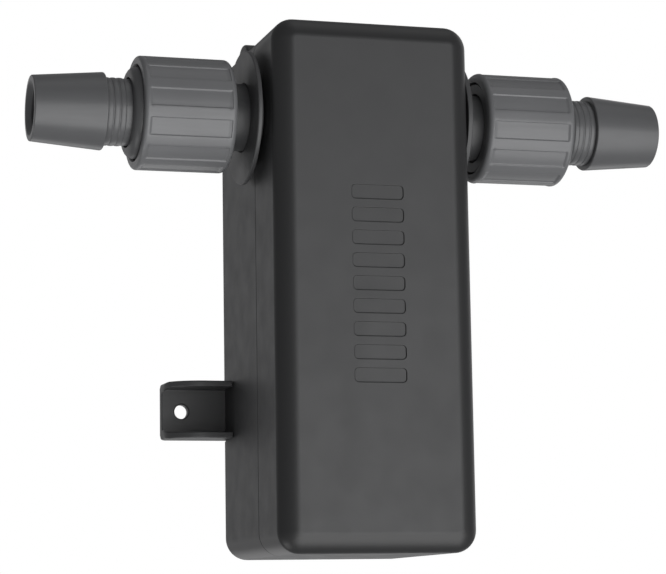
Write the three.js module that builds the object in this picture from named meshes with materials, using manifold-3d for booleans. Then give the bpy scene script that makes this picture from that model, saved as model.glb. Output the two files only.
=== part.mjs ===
// In-line ultraviolet water clarifier, in millimetres, +Z up.
//
// The origin is on the wall plane, at the middle of the mounting strap: the wall is the plane
// Y = 0, the front faces -Y and the two hose connectors lie along X. A tall moulded case holds
// a water chamber with a lamp in a quartz sleeve, and the lamp's driver board behind it.

import * as THREE from 'three';
import { mergeVertices } from 'three/addons/utils/BufferGeometryUtils.js';
import Module from 'manifold-3d';

const wasm = await Module();
wasm.setup();

// ---------------------------------------------------------------- driving dimensions

const CASE = { width: 46.8, height: 121.7, frontDepth: 52.4, rearDepth: 33.2 };
const CASE_BOTTOM = -35.6;
const CASE_TOP = CASE_BOTTOM + CASE.height;
const CASE_MIDDLE = (CASE_TOP + CASE_BOTTOM) / 2;
const HALF_WIDTH = CASE.width / 2;
const FRONT_Y = -CASE.frontDepth;
const PARTING_Y = -CASE.rearDepth;
const WALL = 2.2;
const CORNER_RADIUS = 5.2;
const FRONT_EDGE = 3.8;
const REAR_EDGE = 2.0;

// Every pair of neighbouring pieces keeps this gap, and a split joint keeps half on each side.
const GAP = 0.3;
const HALF_GAP = GAP / 2;

// The ports lie on the case's parting plane.
const PORT_Z = 66.0;
const PORT_NECK_RADIUS = 7.85;
const PORT_HOLE_RADIUS = PORT_NECK_RADIUS + 0.35;
const BORE_RADIUS = 5.2;

// The port's stations, as distances from the case's middle along X.
// The left collar's disc stands further off the case than the right one's.
const COLLAR = { hub: 13.0, radius: 15.6, edge: 0.3 };
const COLLAR_DISC = {
  left: { back: 25.4, face: 26.4 },
  right: { back: 24.1, face: 25.3 },
};
const BARREL = { start: 30.7, end: 46.6, radius: 10.6 };
const NECK = { radius: 7.7, ribRadius: 7.95, ribStart: 55.0, ribPitch: 1.5, ribs: 3 };
const NOZZLE = { start: 59.4, tip: 76.0, baseRadius: 9.0, tipRadius: 7.55, shoulder: 0.4, leadIn: 1.2 };
const PORT_NECK_END = 41.6;
const SOCKET_END = 43.6;

// The lock nut is shown screwed home. It has grip ribs, and each covers RIB_SHARE of its pitch
// around the nut. Tightened by hand, the two nuts stop with their ribs at different angles.
const NUT = { start: 30.4, end: 51.9, radius: 13.15, flute: 0.4, bore: 10.95, mouth: 11.45 };
const NUT_RIBS = 12;
const RIB_SHARE = 0.38;
const RIB_SLOPE = 0.04;
const RIB_ANGLE = { left: -9.5, right: -2.7 };
const CLAMP = { start: 47.2, step: 49.8, end: 53.7, bore: 8.25, shoulder: 11.3, nose: 10.7, round: 1.9 };
const POCKET = { start: 46.9, end: 50.1, radius: 11.6, lip: 11.1 };

// The strap behind the case is a little thinner than the ears beside it.
const BRACKET = {
  halfHeight: 6.8, thickness: 2.3, strapThickness: 2.1, reach: 39.1, flange: 1.4, rise: 8.6, earCurve: 9.0,
};
const SCREW_HOLE = { x: 34.2, radius: 1.7 };
const STRAP_SCREW = { x: 9.0, boss: 3.0, bore: 1.3, depth: 9.0, head: 2.3, shank: 0.95, tip: -8.5 };
const RECESS_DEPTH = BRACKET.thickness + GAP;

const CHAMBER = { halfWidth: 17.5, front: -49.6, back: -23.4, bottom: -12.0, top: 75.2, wall: 2.0 };
const CHAMBER_Y = (CHAMBER.front + CHAMBER.back) / 2;
const CHAMBER_HALF_DEPTH = (CHAMBER.back - CHAMBER.front) / 2;
const CAP = {
  top: -13.7, bottom: -16.7, plug: -7.0, collarBottom: -20.4, collarInner: 10.9, collarOuter: 12.0,
};
const BAFFLE = { halfThickness: 0.8, bottom: 40.0 };
const SLEEVE = { outer: 8.6, inner: 7.4, bottom: -19.0, top: 36.0 };
const O_RING = { section: 0.8, z: -17.8 };
const SLEEVE_NUT = { radius: 13.1, bottom: -24.0, land: -18.9 };
const LAMP = { legSpacing: 3.6, radius: 2.0, bottom: -13.7, bend: 26.0 };
const LAMP_BASE = { flange: 8.4, spigot: 7.0, bottom: -24.2 };
const LEAD_RADIUS = 1.1;

const CASE_SCREW = {
  x: 12.5, inset: 7.1, seat: -20.0, boss: 3.4, counterbore: 2.7, bore: 1.5,
  head: 2.3, headHeight: 1.6, shank: 1.15,
};
const GLAND = { y: -18.7, z: 82.0, boss: 5.1, face: -22.3, inner: -17.2, pocket: 3.4, bore: 2.7, pass: 1.8 };

const BOARD = { y: -17.0, thickness: 1.6, halfWidth: 15.0, bottom: 11.0, top: 63.0 };
const BOARD_BACK = BOARD.y + BOARD.thickness + GAP;
const BOARD_POSTS = [{ x: -12, z: 16 }, { x: 12, z: 58 }];
const BOARD_SCREW = { head: 2.2, headHeight: 1.3, shank: 0.85, length: 7.0 };

// ---------------------------------------------------------------- materials

function plastic(color, roughness) {
  return new THREE.MeshStandardMaterial({ color, roughness, metalness: 0 });
}

const MATERIALS = {
  case: plastic(0x4b4c4e, 0.62),
  fitting: plastic(0x6c6e71, 0.5),
  nozzle: plastic(0x5c5e61, 0.48),
  clamp: plastic(0x55575a, 0.5),
  bracket: plastic(0x2c2d2e, 0.6),
  rubber: plastic(0x161617, 0.85),
  chamber: plastic(0x2a2b2d, 0.5),
  glass: new THREE.MeshStandardMaterial({
    color: 0xdfe8ee, roughness: 0.05, transparent: true, opacity: 0.35,
  }),
  lamp: plastic(0xe9e6f2, 0.15),
  ceramic: plastic(0xe4e1d8, 0.4),
  board: plastic(0x1f5a36, 0.55),
  component: plastic(0x1b1b1d, 0.5),
  steel: new THREE.MeshStandardMaterial({ color: 0xb4b7ba, roughness: 0.35, metalness: 0.9 }),
};

// ---------------------------------------------------------------- solids

// Turns a closed geometry into a manifold solid, for joining and cutting.
function toSolid(geometry) {
  const plain = geometry.index ? geometry.toNonIndexed() : geometry.clone();
  plain.deleteAttribute('normal');
  plain.deleteAttribute('uv');
  const merged = mergeVertices(plain, 1e-4);
  const mesh = new wasm.Mesh({
    numProp: 3,
    vertProperties: new Float32Array(merged.attributes.position.array),
    triVerts: new Uint32Array(merged.index.array),
  });
  mesh.merge();
  return new wasm.Manifold(mesh);
}

function toGeometry(solid) {
  const mesh = solid.getMesh();
  const geometry = new THREE.BufferGeometry();
  geometry.setAttribute('position', new THREE.BufferAttribute(mesh.vertProperties, 3));
  geometry.setIndex(new THREE.BufferAttribute(mesh.triVerts, 1));
  return geometry;
}

// Joins the first geometry with the others, then cuts the cutters from it.
function carve(bodies, cutters) {
  let solid = toSolid(bodies[0]);
  for (const body of bodies.slice(1)) solid = solid.add(toSolid(body));
  for (const cutter of cutters) solid = solid.subtract(toSolid(cutter));
  return toGeometry(solid);
}

// Skins a row of rings with equal point counts. Open rows get a flat fan at each end; a closed
// row joins its last ring to its first, as on a tube with walls.
function skin(rings, closed) {
  const count = rings[0].length;
  const positions = rings.flat().flatMap((point) => [point.x, point.y, point.z]);
  const index = [];
  const spans = closed ? rings.length : rings.length - 1;
  for (let ring = 0; ring < spans; ring++) {
    const here = ring * count;
    const next = ((ring + 1) % rings.length) * count;
    for (let i = 0; i < count; i++) {
      const j = (i + 1) % count;
      index.push(here + i, here + j, next + j, here + i, next + j, next + i);
    }
  }
  if (!closed) {
    const last = (rings.length - 1) * count;
    for (let i = 1; i < count - 1; i++) {
      index.push(0, i + 1, i);
      index.push(last, last + i, last + i + 1);
    }
  }
  return facingOut(positions, index);
}

// Builds the geometry and turns every face over if its volume comes out negative.
function facingOut(positions, index) {
  const corner = (k) => new THREE.Vector3().fromArray(positions, index[k] * 3);
  let volume = 0;
  for (let k = 0; k < index.length; k += 3) {
    volume += corner(k).dot(corner(k + 1).cross(corner(k + 2)));
  }
  if (volume < 0) {
    for (let k = 0; k < index.length; k += 3) [index[k], index[k + 1]] = [index[k + 1], index[k]];
  }
  const geometry = new THREE.BufferGeometry();
  geometry.setAttribute('position', new THREE.Float32BufferAttribute(positions, 3));
  geometry.setIndex(index);
  return geometry;
}

// A box from its lowest and highest corners.
function block(low, high) {
  const geometry = new THREE.BoxGeometry(high[0] - low[0], high[1] - low[1], high[2] - low[2]);
  const middle = low.map((value, axis) => (value + high[axis]) / 2);
  return geometry.translate(...middle);
}

// A solid of revolution. The outline's points are [radius, distance along the axis], and it
// starts and ends on the axis, or closes on itself.
function turned(outline, segments) {
  const points = outline.map(([radius, along]) => new THREE.Vector2(radius, along));
  const onAxis = outline[0][0] === 0 && outline[outline.length - 1][0] === 0;
  if (!onAxis) points.push(points[0].clone());
  return orient(new THREE.LatheGeometry(points, segments));
}

// A lathe's faces point in or out with its outline's direction, so the solid is turned outward.
function orient(lathe) {
  lathe.deleteAttribute('normal');
  lathe.deleteAttribute('uv');
  const merged = mergeVertices(lathe, 1e-4);
  const kept = [];
  const source = merged.index.array;
  for (let k = 0; k < source.length; k += 3) {
    const [a, b, c] = [source[k], source[k + 1], source[k + 2]];
    if (a !== b && b !== c && a !== c) kept.push(a, b, c);
  }
  return facingOut(Array.from(merged.attributes.position.array), kept);
}

// The lathe's axis is Y; these lay it along the other axes with distance still increasing.
const alongX = (geometry) => geometry.rotateZ(-Math.PI / 2);
const alongZ = (geometry) => geometry.rotateX(Math.PI / 2);

function cylinder(radius, start, end, segments) {
  return turned([[0, start], [radius, start], [radius, end], [0, end]], segments);
}

// An upright prism with rounded corners, between two heights.
function roundedPrism(halfWidth, halfDepth, corner, bottom, top) {
  const shape = new THREE.Shape();
  shape.moveTo(-halfWidth + corner, -halfDepth);
  shape.lineTo(halfWidth - corner, -halfDepth);
  shape.absarc(halfWidth - corner, -halfDepth + corner, corner, -Math.PI / 2, 0);
  shape.absarc(halfWidth - corner, halfDepth - corner, corner, 0, Math.PI / 2);
  shape.absarc(-halfWidth + corner, halfDepth - corner, corner, Math.PI / 2, Math.PI);
  shape.absarc(-halfWidth + corner, -halfDepth + corner, corner, Math.PI, Math.PI * 1.5);
  const options = { depth: top - bottom, bevelEnabled: false, curveSegments: 3 };
  return new THREE.ExtrudeGeometry(shape, options).translate(0, CHAMBER_Y, bottom);
}

// ---------------------------------------------------------------- case

// One ring of the case's outline, drawn in by inset, in the plane at y.
function caseRing(inset, y) {
  const steps = 4;
  const radius = Math.max(CORNER_RADIUS - inset, 0.2);
  const halfX = HALF_WIDTH - inset - radius;
  const halfZ = CASE.height / 2 - inset - radius;
  const ring = [];
  for (let quarter = 0; quarter < 4; quarter++) {
    const centreX = halfX * (quarter === 0 || quarter === 3 ? 1 : -1);
    const centreZ = halfZ * (quarter < 2 ? 1 : -1);
    for (let step = 0; step <= steps; step++) {
      const angle = (quarter + step / steps) * Math.PI / 2;
      const x = centreX + radius * Math.cos(angle);
      const z = CASE_MIDDLE + centreZ + radius * Math.sin(angle);
      ring.push(new THREE.Vector3(x, y, z));
    }
  }
  return ring;
}

// A shell open at the parting plane, with a rounded outer edge where its closed side meets
// its walls. Side is -1 for the shell that reaches forward and +1 for the one at the wall.
function caseShell(closedY, side, edge) {
  const steps = 4;
  const rings = [];
  for (let step = steps; step >= 0; step--) {
    const angle = (step / steps) * Math.PI / 2;
    rings.push(caseRing(edge * (1 - Math.cos(angle)), closedY - side * edge * (1 - Math.sin(angle))));
  }
  const rim = PARTING_Y + side * HALF_GAP;
  const fillet = Math.max(edge - WALL, 0.6);
  rings.push(caseRing(0, rim));
  rings.push(caseRing(WALL, rim));
  rings.push(caseRing(WALL, closedY - side * (WALL + fillet)));
  rings.push(caseRing(WALL + fillet, closedY - side * WALL));
  return skin(rings, false);
}

// Calls make(x, z) for each of the four case screws.
function atCaseScrews(make) {
  const heights = [CASE_TOP - CASE_SCREW.inset, CASE_BOTTOM + CASE_SCREW.inset];
  return heights.flatMap((z) => [-CASE_SCREW.x, CASE_SCREW.x].map((x) => make(x, z)));
}

const portHole = () => alongX(cylinder(PORT_HOLE_RADIUS, -30, 30, 24)).translate(0, PARTING_Y, PORT_Z);

function frontCover() {
  const bosses = atCaseScrews((x, z) =>
    cylinder(CASE_SCREW.boss, FRONT_Y + 1, PARTING_Y - HALF_GAP, 16).translate(x, 0, z));
  const pilots = atCaseScrews((x, z) =>
    cylinder(CASE_SCREW.bore, FRONT_Y + 5, PARTING_Y + 1, 12).translate(x, 0, z));
  return carve([caseShell(FRONT_Y, -1, FRONT_EDGE), ...bosses], [portHole(), ...pilots]);
}

// The rear shell, with tubes for the case screws, a recess for the mounting strap, a boss for
// the cord gland and two posts for the driver board.
function rearHousing() {
  const shell = caseShell(0, 1, REAR_EDGE);
  const tubes = atCaseScrews((x, z) =>
    cylinder(CASE_SCREW.boss, PARTING_Y + HALF_GAP, -1, 16).translate(x, 0, z));
  const pad = block([-21.5, -RECESS_DEPTH - 2, -9.3], [21.5, -1.5, 9.3]);
  const strapBosses = [-1, 1].map((side) =>
    cylinder(STRAP_SCREW.boss, -STRAP_SCREW.depth, -2, 16).translate(side * STRAP_SCREW.x, 0, 0));
  const glandBoss = alongX(cylinder(GLAND.boss, GLAND.face, GLAND.inner, 24))
    .translate(0, GLAND.y, GLAND.z);
  const posts = boardPosts((x, z) =>
    cylinder(2.4, BOARD.y + BOARD.thickness + GAP, -1.5, 12).translate(x, 0, z));

  const counterbores = atCaseScrews((x, z) =>
    cylinder(CASE_SCREW.counterbore, CASE_SCREW.seat, 1, 16).translate(x, 0, z));
  const bores = atCaseScrews((x, z) =>
    cylinder(CASE_SCREW.bore, PARTING_Y - 1, 0, 12).translate(x, 0, z));
  const halfRecess = BRACKET.halfHeight + GAP;
  const recess = block([-30, -RECESS_DEPTH, -halfRecess], [30, 1, halfRecess]);
  const strapPilots = [-1, 1].map((side) =>
    cylinder(STRAP_SCREW.bore, -STRAP_SCREW.depth - 1, 0, 12).translate(side * STRAP_SCREW.x, 0, 0));
  const glandPocket = alongX(cylinder(GLAND.pocket, -30, GLAND.face + 1.3, 20))
    .translate(0, GLAND.y, GLAND.z);
  const glandBore = alongX(cylinder(GLAND.bore, -30, GLAND.inner + 1, 16))
    .translate(0, GLAND.y, GLAND.z);
  const postPilots = boardPosts((x, z) =>
    cylinder(1.1, BOARD.y, BOARD.y + 9, 10).translate(x, 0, z));

  return carve(
    [shell, ...tubes, pad, ...strapBosses, glandBoss, ...posts],
    [portHole(), ...counterbores, ...bores, recess, ...strapPilots, glandPocket, glandBore, ...postPilots],
  );
}

// A strip that bridges the joint on the inside, with an eye around each port neck.
function caseGasket() {
  const half = 1.5;
  const outer = WALL + GAP;
  const inner = outer + 0.9;
  const strip = skin([
    caseRing(outer, PARTING_Y - half),
    caseRing(outer, PARTING_Y + half),
    caseRing(inner, PARTING_Y + half),
    caseRing(inner, PARTING_Y - half),
  ], true);
  const eyes = [];
  const holes = [];
  for (const side of [-1, 1]) {
    const near = side * (HALF_WIDTH - outer);
    const far = side * (HALF_WIDTH - inner);
    const [low, high] = [Math.min(near, far), Math.max(near, far)];
    eyes.push(alongX(cylinder(10.4, low, high, 20)).translate(0, PARTING_Y, PORT_Z));
    holes.push(alongX(cylinder(PORT_HOLE_RADIUS, low - 1, high + 1, 20)).translate(0, PARTING_Y, PORT_Z));
  }
  return carve([strip, ...eyes], holes);
}

// A pan-head screw along Y: its head's top is at headY and its tip at tipY.
function panScrew(headRadius, headHeight, shankRadius, headY, tipY) {
  const under = headY - headHeight;
  return turned([
    [0, tipY],
    [shankRadius * 0.4, tipY],
    [shankRadius, tipY + shankRadius],
    [shankRadius, under],
    [headRadius, under],
    [headRadius, headY - headHeight * 0.4],
    [headRadius * 0.7, headY],
    [0, headY],
  ], 12);
}

// ---------------------------------------------------------------- hose ports

// The collar around the port hole: a hub against the case's side and a thin disc on it.
function portCollar(side) {
  const wallFace = HALF_WIDTH + GAP;
  const { hub, radius, edge } = COLLAR;
  const { back, face } = COLLAR_DISC[side];
  return alongX(turned([
    [PORT_HOLE_RADIUS, wallFace],
    [hub, wallFace],
    [hub, back],
    [radius, back],
    [radius, face - edge],
    [radius - edge, face],
    [PORT_HOLE_RADIUS, face],
  ], 28));
}

// The ring that seals the port neck's end in the connector's socket.
function portSeal() {
  const start = PORT_NECK_END + GAP;
  const end = SOCKET_END - GAP;
  return alongX(turned([[5.6, start], [7.4, start], [7.4, end], [5.6, end]], 20));
}

// Threaded barrel, neck with fine grip ribs, and tapered hose nozzle, with one bore through.
function hoseConnector() {
  const outline = [
    [PORT_NECK_RADIUS + GAP, BARREL.start],
    [BARREL.radius, BARREL.start],
    [BARREL.radius, BARREL.end],
    [NECK.radius, BARREL.end],
    [NECK.radius, NECK.ribStart],
  ];
  for (let rib = 0; rib < NECK.ribs; rib++) {
    const start = NECK.ribStart + rib * NECK.ribPitch;
    outline.push([NECK.ribRadius, start + NECK.ribPitch * 0.3]);
    outline.push([NECK.ribRadius, start + NECK.ribPitch * 0.7]);
    outline.push([NECK.radius, start + NECK.ribPitch]);
  }
  outline.push(
    [NOZZLE.baseRadius - NOZZLE.shoulder, NOZZLE.start],
    [NOZZLE.baseRadius, NOZZLE.start + NOZZLE.shoulder],
    [NOZZLE.tipRadius, NOZZLE.tip],
    [BORE_RADIUS + NOZZLE.leadIn, NOZZLE.tip],
    [BORE_RADIUS, NOZZLE.tip - NOZZLE.leadIn],
    [BORE_RADIUS, SOCKET_END],
    [PORT_NECK_RADIUS + GAP, SOCKET_END],
  );
  return alongX(turned(outline, 24));
}

// The ring that the nut presses on the hose's end. Its round nose stands out of the nut's mouth.
function clampRing() {
  const { start, step, end, bore, shoulder, nose, round } = CLAMP;
  const outline = [[bore, start], [shoulder, start], [shoulder, step], [nose, step]];
  const steps = 4;
  for (let turn = 0; turn <= steps; turn++) {
    const angle = (turn / steps) * Math.PI / 2;
    outline.push([nose - round * (1 - Math.cos(angle)), end - round * (1 - Math.sin(angle))]);
  }
  outline.push([bore, end]);
  return alongX(turned(outline, 24));
}

// One ring of the nut at a station, with flutes of the given depth between its grip ribs.
function nutRing(station, radius, fluteDepth) {
  const ring = [];
  const period = (2 * Math.PI) / NUT_RIBS;
  const halfRib = (period * RIB_SHARE) / 2;
  const slope = period * RIB_SLOPE;
  for (let rib = 0; rib < NUT_RIBS; rib++) {
    const corners = [
      [-halfRib, radius],
      [halfRib, radius],
      [halfRib + slope, radius - fluteDepth],
      [period - halfRib - slope, radius - fluteDepth],
    ];
    for (const [offset, reach] of corners) {
      const angle = rib * period + offset;
      ring.push(new THREE.Vector3(station, reach * Math.cos(angle), reach * Math.sin(angle)));
    }
  }
  return ring;
}

// The fluted lock nut, with the pocket that carries the clamp ring behind the lip of its mouth.
function lockNut() {
  const { start, end, radius, flute, bore, mouth } = NUT;
  return skin([
    nutRing(start, radius - 0.4, 0),
    nutRing(start + 0.4, radius, 0),
    nutRing(start + 0.5, radius, 0),
    nutRing(start + 0.9, radius, flute),
    nutRing(end - 1.5, radius, flute),
    nutRing(end - 1.1, radius, 0),
    nutRing(end - 0.8, radius, 0),
    nutRing(end - 0.25, radius - 0.45, 0),
    nutRing(end, radius - 0.9, 0),
    nutRing(end, mouth, 0),
    nutRing(end - 0.6, POCKET.lip, 0),
    nutRing(POCKET.end, POCKET.lip, 0),
    nutRing(POCKET.end, POCKET.radius, 0),
    nutRing(POCKET.start, POCKET.radius, 0),
    nutRing(POCKET.start, bore, 0),
    nutRing(start, bore, 0),
  ], true);
}

// ---------------------------------------------------------------- bracket

// One ear's top or bottom flange, seen from above: it rises forward from the ear's tip along a
// quarter ellipse and ends at the case's side.
function flangeShape() {
  const { thickness, reach, rise, earCurve } = BRACKET;
  const inner = HALF_WIDTH + GAP;
  const curveStart = reach - earCurve;
  const overlap = -0.5;
  const shape = new THREE.Shape();
  shape.moveTo(inner, overlap);
  shape.lineTo(inner, -thickness - rise);
  shape.lineTo(curveStart, -thickness - rise);
  shape.absellipse(curveStart, -thickness - 1, earCurve, rise - 1, -Math.PI / 2, 0);
  shape.lineTo(reach, overlap);
  shape.closePath();
  return shape;
}

function flange(bottom) {
  const options = { depth: BRACKET.flange, bevelEnabled: false, curveSegments: 8 };
  return new THREE.ExtrudeGeometry(flangeShape(), options).translate(0, 0, bottom);
}

// A strap across the case's back, with a channel-shaped screw ear at each side.
function mountingBracket() {
  const { halfHeight, thickness, strapThickness, reach } = BRACKET;
  const earStart = HALF_WIDTH + GAP;
  const ears = [];
  const cutters = [];
  for (const side of [-1, 1]) {
    const plate = block([earStart, -thickness, -halfHeight], [reach, 0, halfHeight]);
    const pieces = [plate, flange(halfHeight - BRACKET.flange), flange(-halfHeight)];
    const hole = cylinder(SCREW_HOLE.radius, -thickness - 1, 1, 20).translate(SCREW_HOLE.x, 0, 0);
    const strapHole = cylinder(STRAP_SCREW.bore, -thickness - 1, 1, 12).translate(STRAP_SCREW.x, 0, 0);
    const sink = turned([[0, -1.4], [1.3, -1.4], [2.9, 0.2], [0, 0.2]], 16)
      .translate(STRAP_SCREW.x, 0, 0);
    const tipCorner = new THREE.BoxGeometry(1.6, 40, 1.6).rotateY(Math.PI / 4);
    const corners = [-1, 1].map((end) => tipCorner.clone().translate(reach, 0, end * halfHeight));
    const turn = (geometry) => (side > 0 ? geometry : geometry.rotateY(Math.PI));
    ears.push(...pieces.map(turn));
    cutters.push(...[hole, strapHole, sink, ...corners].map(turn));
  }
  const strap = block([-reach, -strapThickness, -halfHeight], [reach, 0, halfHeight]);
  return carve([strap, ...ears], cutters);
}

// A countersunk screw along Y with its head's face just under the strap's back face.
function strapScrew() {
  const { head, shank, tip } = STRAP_SCREW;
  const face = -0.2;
  return turned([
    [0, tip],
    [shank / 2, tip],
    [shank, tip + shank],
    [shank, face - (head - shank)],
    [head, face],
    [0, face],
  ], 12);
}

// ---------------------------------------------------------------- water chamber and lamp

// The upright tank that the water passes through, with a round neck out to each side.
function waterChamber() {
  const { halfWidth, bottom, top, wall } = CHAMBER;
  const tank = roundedPrism(halfWidth, CHAMBER_HALF_DEPTH, 3, bottom, top);
  const insideDepth = CHAMBER_HALF_DEPTH - wall;
  const inside = roundedPrism(halfWidth - wall, insideDepth, 1.5, bottom - 1, top - wall);
  const necks = alongX(cylinder(PORT_NECK_RADIUS, -PORT_NECK_END, PORT_NECK_END, 24));
  const bore = alongX(cylinder(BORE_RADIUS, -50, 50, 20));
  const atPort = (geometry) => geometry.translate(0, PARTING_Y, PORT_Z);
  return carve([tank, atPort(necks)], [inside, atPort(bore)]);
}

function onLampAxis(geometry) {
  return alongZ(geometry).translate(0, CHAMBER_Y, 0);
}

// Closes the tank from below: a plate, a plug that reaches up inside the walls, and a round
// collar around the sleeve.
function chamberCap() {
  const plate = roundedPrism(CHAMBER.halfWidth, CHAMBER_HALF_DEPTH, 3, CAP.bottom, CAP.top);
  const inset = CHAMBER.wall + GAP;
  const plugWidth = CHAMBER.halfWidth - inset;
  const plug = roundedPrism(plugWidth, CHAMBER_HALF_DEPTH - inset, 1.3, CAP.top - 1, CAP.plug);
  const collar = onLampAxis(cylinder(CAP.collarOuter, CAP.collarBottom, CAP.bottom + 1, 24));
  const recess = onLampAxis(cylinder(CAP.collarInner, CAP.collarBottom - 1, CAP.bottom, 24));
  const hole = onLampAxis(cylinder(SLEEVE.outer + GAP, CAP.collarBottom, CAP.plug + 1, 20));
  return carve([plate, plug, collar], [recess, hole]);
}

// The flat seal between the tank's rim and the cap's plate.
function chamberSeal() {
  const bottom = CAP.top + GAP;
  const top = CHAMBER.bottom - GAP;
  const margin = 0.2;
  const outer = roundedPrism(CHAMBER.halfWidth - margin, CHAMBER_HALF_DEPTH - margin, 3, bottom, top);
  const inset = CHAMBER.wall - 0.1;
  const innerWidth = CHAMBER.halfWidth - inset;
  const inner = roundedPrism(innerWidth, CHAMBER_HALF_DEPTH - inset, 1.3, bottom - 1, top + 1);
  return carve([outer], [inner]);
}

// The plate that turns the water down around the sleeve.
function flowBaffle() {
  const reach = CHAMBER_HALF_DEPTH - CHAMBER.wall - GAP;
  return block(
    [-BAFFLE.halfThickness, CHAMBER_Y - reach, BAFFLE.bottom],
    [BAFFLE.halfThickness, CHAMBER_Y + reach, CHAMBER.top - CHAMBER.wall - GAP],
  );
}

// A quartz tube with a domed top and an open bottom.
function quartzSleeve() {
  const { outer, inner, bottom, top } = SLEEVE;
  const outline = [[inner, bottom], [outer, bottom]];
  const steps = 4;
  for (let step = 0; step <= steps; step++) {
    const angle = (step / steps) * Math.PI / 2;
    outline.push([step === steps ? 0 : outer * Math.cos(angle), top - outer + outer * Math.sin(angle)]);
  }
  for (let step = steps; step >= 0; step--) {
    const angle = (step / steps) * Math.PI / 2;
    outline.push([step === steps ? 0 : inner * Math.cos(angle), top - outer + inner * Math.sin(angle)]);
  }
  const points = outline.map(([radius, along]) => new THREE.Vector2(radius, along));
  points.push(points[0].clone());
  return onLampAxis(orient(new THREE.LatheGeometry(points, 16)));
}

function sleeveOring() {
  const ring = new THREE.TorusGeometry(SLEEVE.outer + GAP + O_RING.section, O_RING.section, 6, 20);
  return ring.translate(0, CHAMBER_Y, O_RING.z);
}

// The cup nut that presses the ring seal against the sleeve.
function sleeveNut() {
  return onLampAxis(turned([
    [SLEEVE.outer + GAP, SLEEVE_NUT.bottom],
    [SLEEVE_NUT.radius, SLEEVE_NUT.bottom],
    [SLEEVE_NUT.radius, CAP.bottom - GAP],
    [CAP.collarOuter + GAP, CAP.bottom - GAP],
    [CAP.collarOuter + GAP, CAP.collarBottom - GAP],
    [CAP.collarInner - GAP, CAP.collarBottom - GAP],
    [CAP.collarInner - GAP, SLEEVE_NUT.land],
    [SLEEVE.outer + GAP, SLEEVE_NUT.land],
  ], 20));
}

// The folded discharge tube: up one leg, round the bend and down the other.
function uvLamp() {
  const path = new THREE.CurvePath();
  const point = (x, z) => new THREE.Vector3(x, CHAMBER_Y, z);
  const { legSpacing, bottom, bend } = LAMP;
  path.add(new THREE.LineCurve3(point(-legSpacing, bottom), point(-legSpacing, bend)));
  const handle = bend + (legSpacing * 4) / 3;
  path.add(new THREE.CubicBezierCurve3(
    point(-legSpacing, bend),
    point(-legSpacing, handle),
    point(legSpacing, handle),
    point(legSpacing, bend),
  ));
  path.add(new THREE.LineCurve3(point(legSpacing, bend), point(legSpacing, bottom)));
  return tubeAlong(path, LAMP.radius, 8, 20);
}

// A solid round bar along a path.
function tubeAlong(path, radius, sides, steps) {
  const section = new THREE.Shape();
  for (let side = 0; side < sides; side++) {
    const angle = (side / sides) * 2 * Math.PI;
    const [x, y] = [radius * Math.cos(angle), radius * Math.sin(angle)];
    if (side === 0) section.moveTo(x, y);
    else section.lineTo(x, y);
  }
  section.closePath();
  return new THREE.ExtrudeGeometry(section, { steps, extrudePath: path, bevelEnabled: false });
}

function lampBase() {
  return onLampAxis(turned([
    [0, LAMP_BASE.bottom],
    [LAMP_BASE.flange, LAMP_BASE.bottom],
    [LAMP_BASE.flange, SLEEVE.bottom - GAP],
    [LAMP_BASE.spigot, SLEEVE.bottom - GAP],
    [LAMP_BASE.spigot, LAMP.bottom - GAP],
    [0, LAMP.bottom - GAP],
  ], 16));
}

// The lead from the lamp's base, down under the chamber and up to the driver board.
function lampLead() {
  const path = new THREE.CatmullRomCurve3([
    new THREE.Vector3(0, CHAMBER_Y, LAMP_BASE.bottom - GAP),
    new THREE.Vector3(0, CHAMBER_Y, -26.5),
    new THREE.Vector3(0, -32.5, -30.0),
    new THREE.Vector3(0, -24.0, -30.3),
    new THREE.Vector3(0, -17.5, -25.0),
    new THREE.Vector3(0, -16.2, -14.0),
    new THREE.Vector3(0, -16.2, BOARD.bottom - GAP),
  ]);
  return tubeAlong(path, LEAD_RADIUS, 8, 18);
}

// ---------------------------------------------------------------- driver

// Calls make(x, z) for each of the driver board's two posts.
function boardPosts(make) {
  return BOARD_POSTS.map(({ x, z }) => make(x, z));
}

function driverBoard() {
  const back = BOARD.y + BOARD.thickness;
  const board = block([-BOARD.halfWidth, BOARD.y, BOARD.bottom], [BOARD.halfWidth, back, BOARD.top]);
  const holes = boardPosts((x, z) => cylinder(1.5, BOARD.y - 1, back + 1, 12).translate(x, 0, z));
  return carve([board], holes);
}

function driverTransformer() {
  const core = block([-8, BOARD_BACK, 34], [8, BOARD_BACK + 9, 48]);
  const winding = block([-5.5, BOARD_BACK + 1, 31.5], [5.5, BOARD_BACK + 8, 50.5]);
  return carve([core, winding], []);
}

function driverCapacitor() {
  return cylinder(3.4, BOARD_BACK, BOARD_BACK + 10, 16).translate(8.5, 0, 23);
}

function powerTerminal() {
  const body = block([-10, BOARD_BACK, 53], [0, BOARD_BACK + 7, 61]);
  const entries = [-7.5, -2.5].map((x) =>
    alongZ(cylinder(1.2, 58, 62, 10)).translate(x, BOARD_BACK + 3.5, 0));
  return carve([body], entries);
}

// The ring that the supply cord passes through. Its flange sits in the boss's pocket.
function cordGland() {
  const flangeEnd = GLAND.face + 1.3 - GAP;
  const inside = GLAND.inner + 0.6;
  return alongX(turned([
    [GLAND.pass, GLAND.face],
    [GLAND.pocket - GAP - 0.4, GLAND.face],
    [GLAND.pocket - GAP, GLAND.face + 0.4],
    [GLAND.pocket - GAP, flangeEnd],
    [GLAND.bore - GAP, flangeEnd],
    [GLAND.bore - GAP, inside],
    [GLAND.pass, inside],
  ], 20)).translate(0, GLAND.y, GLAND.z);
}

// ---------------------------------------------------------------- assembly

const group = new THREE.Group();

function place(parent, name, geometry, material) {
  const mesh = new THREE.Mesh(geometry, MATERIALS[material]);
  mesh.name = name;
  parent.add(mesh);
  return mesh;
}

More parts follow.
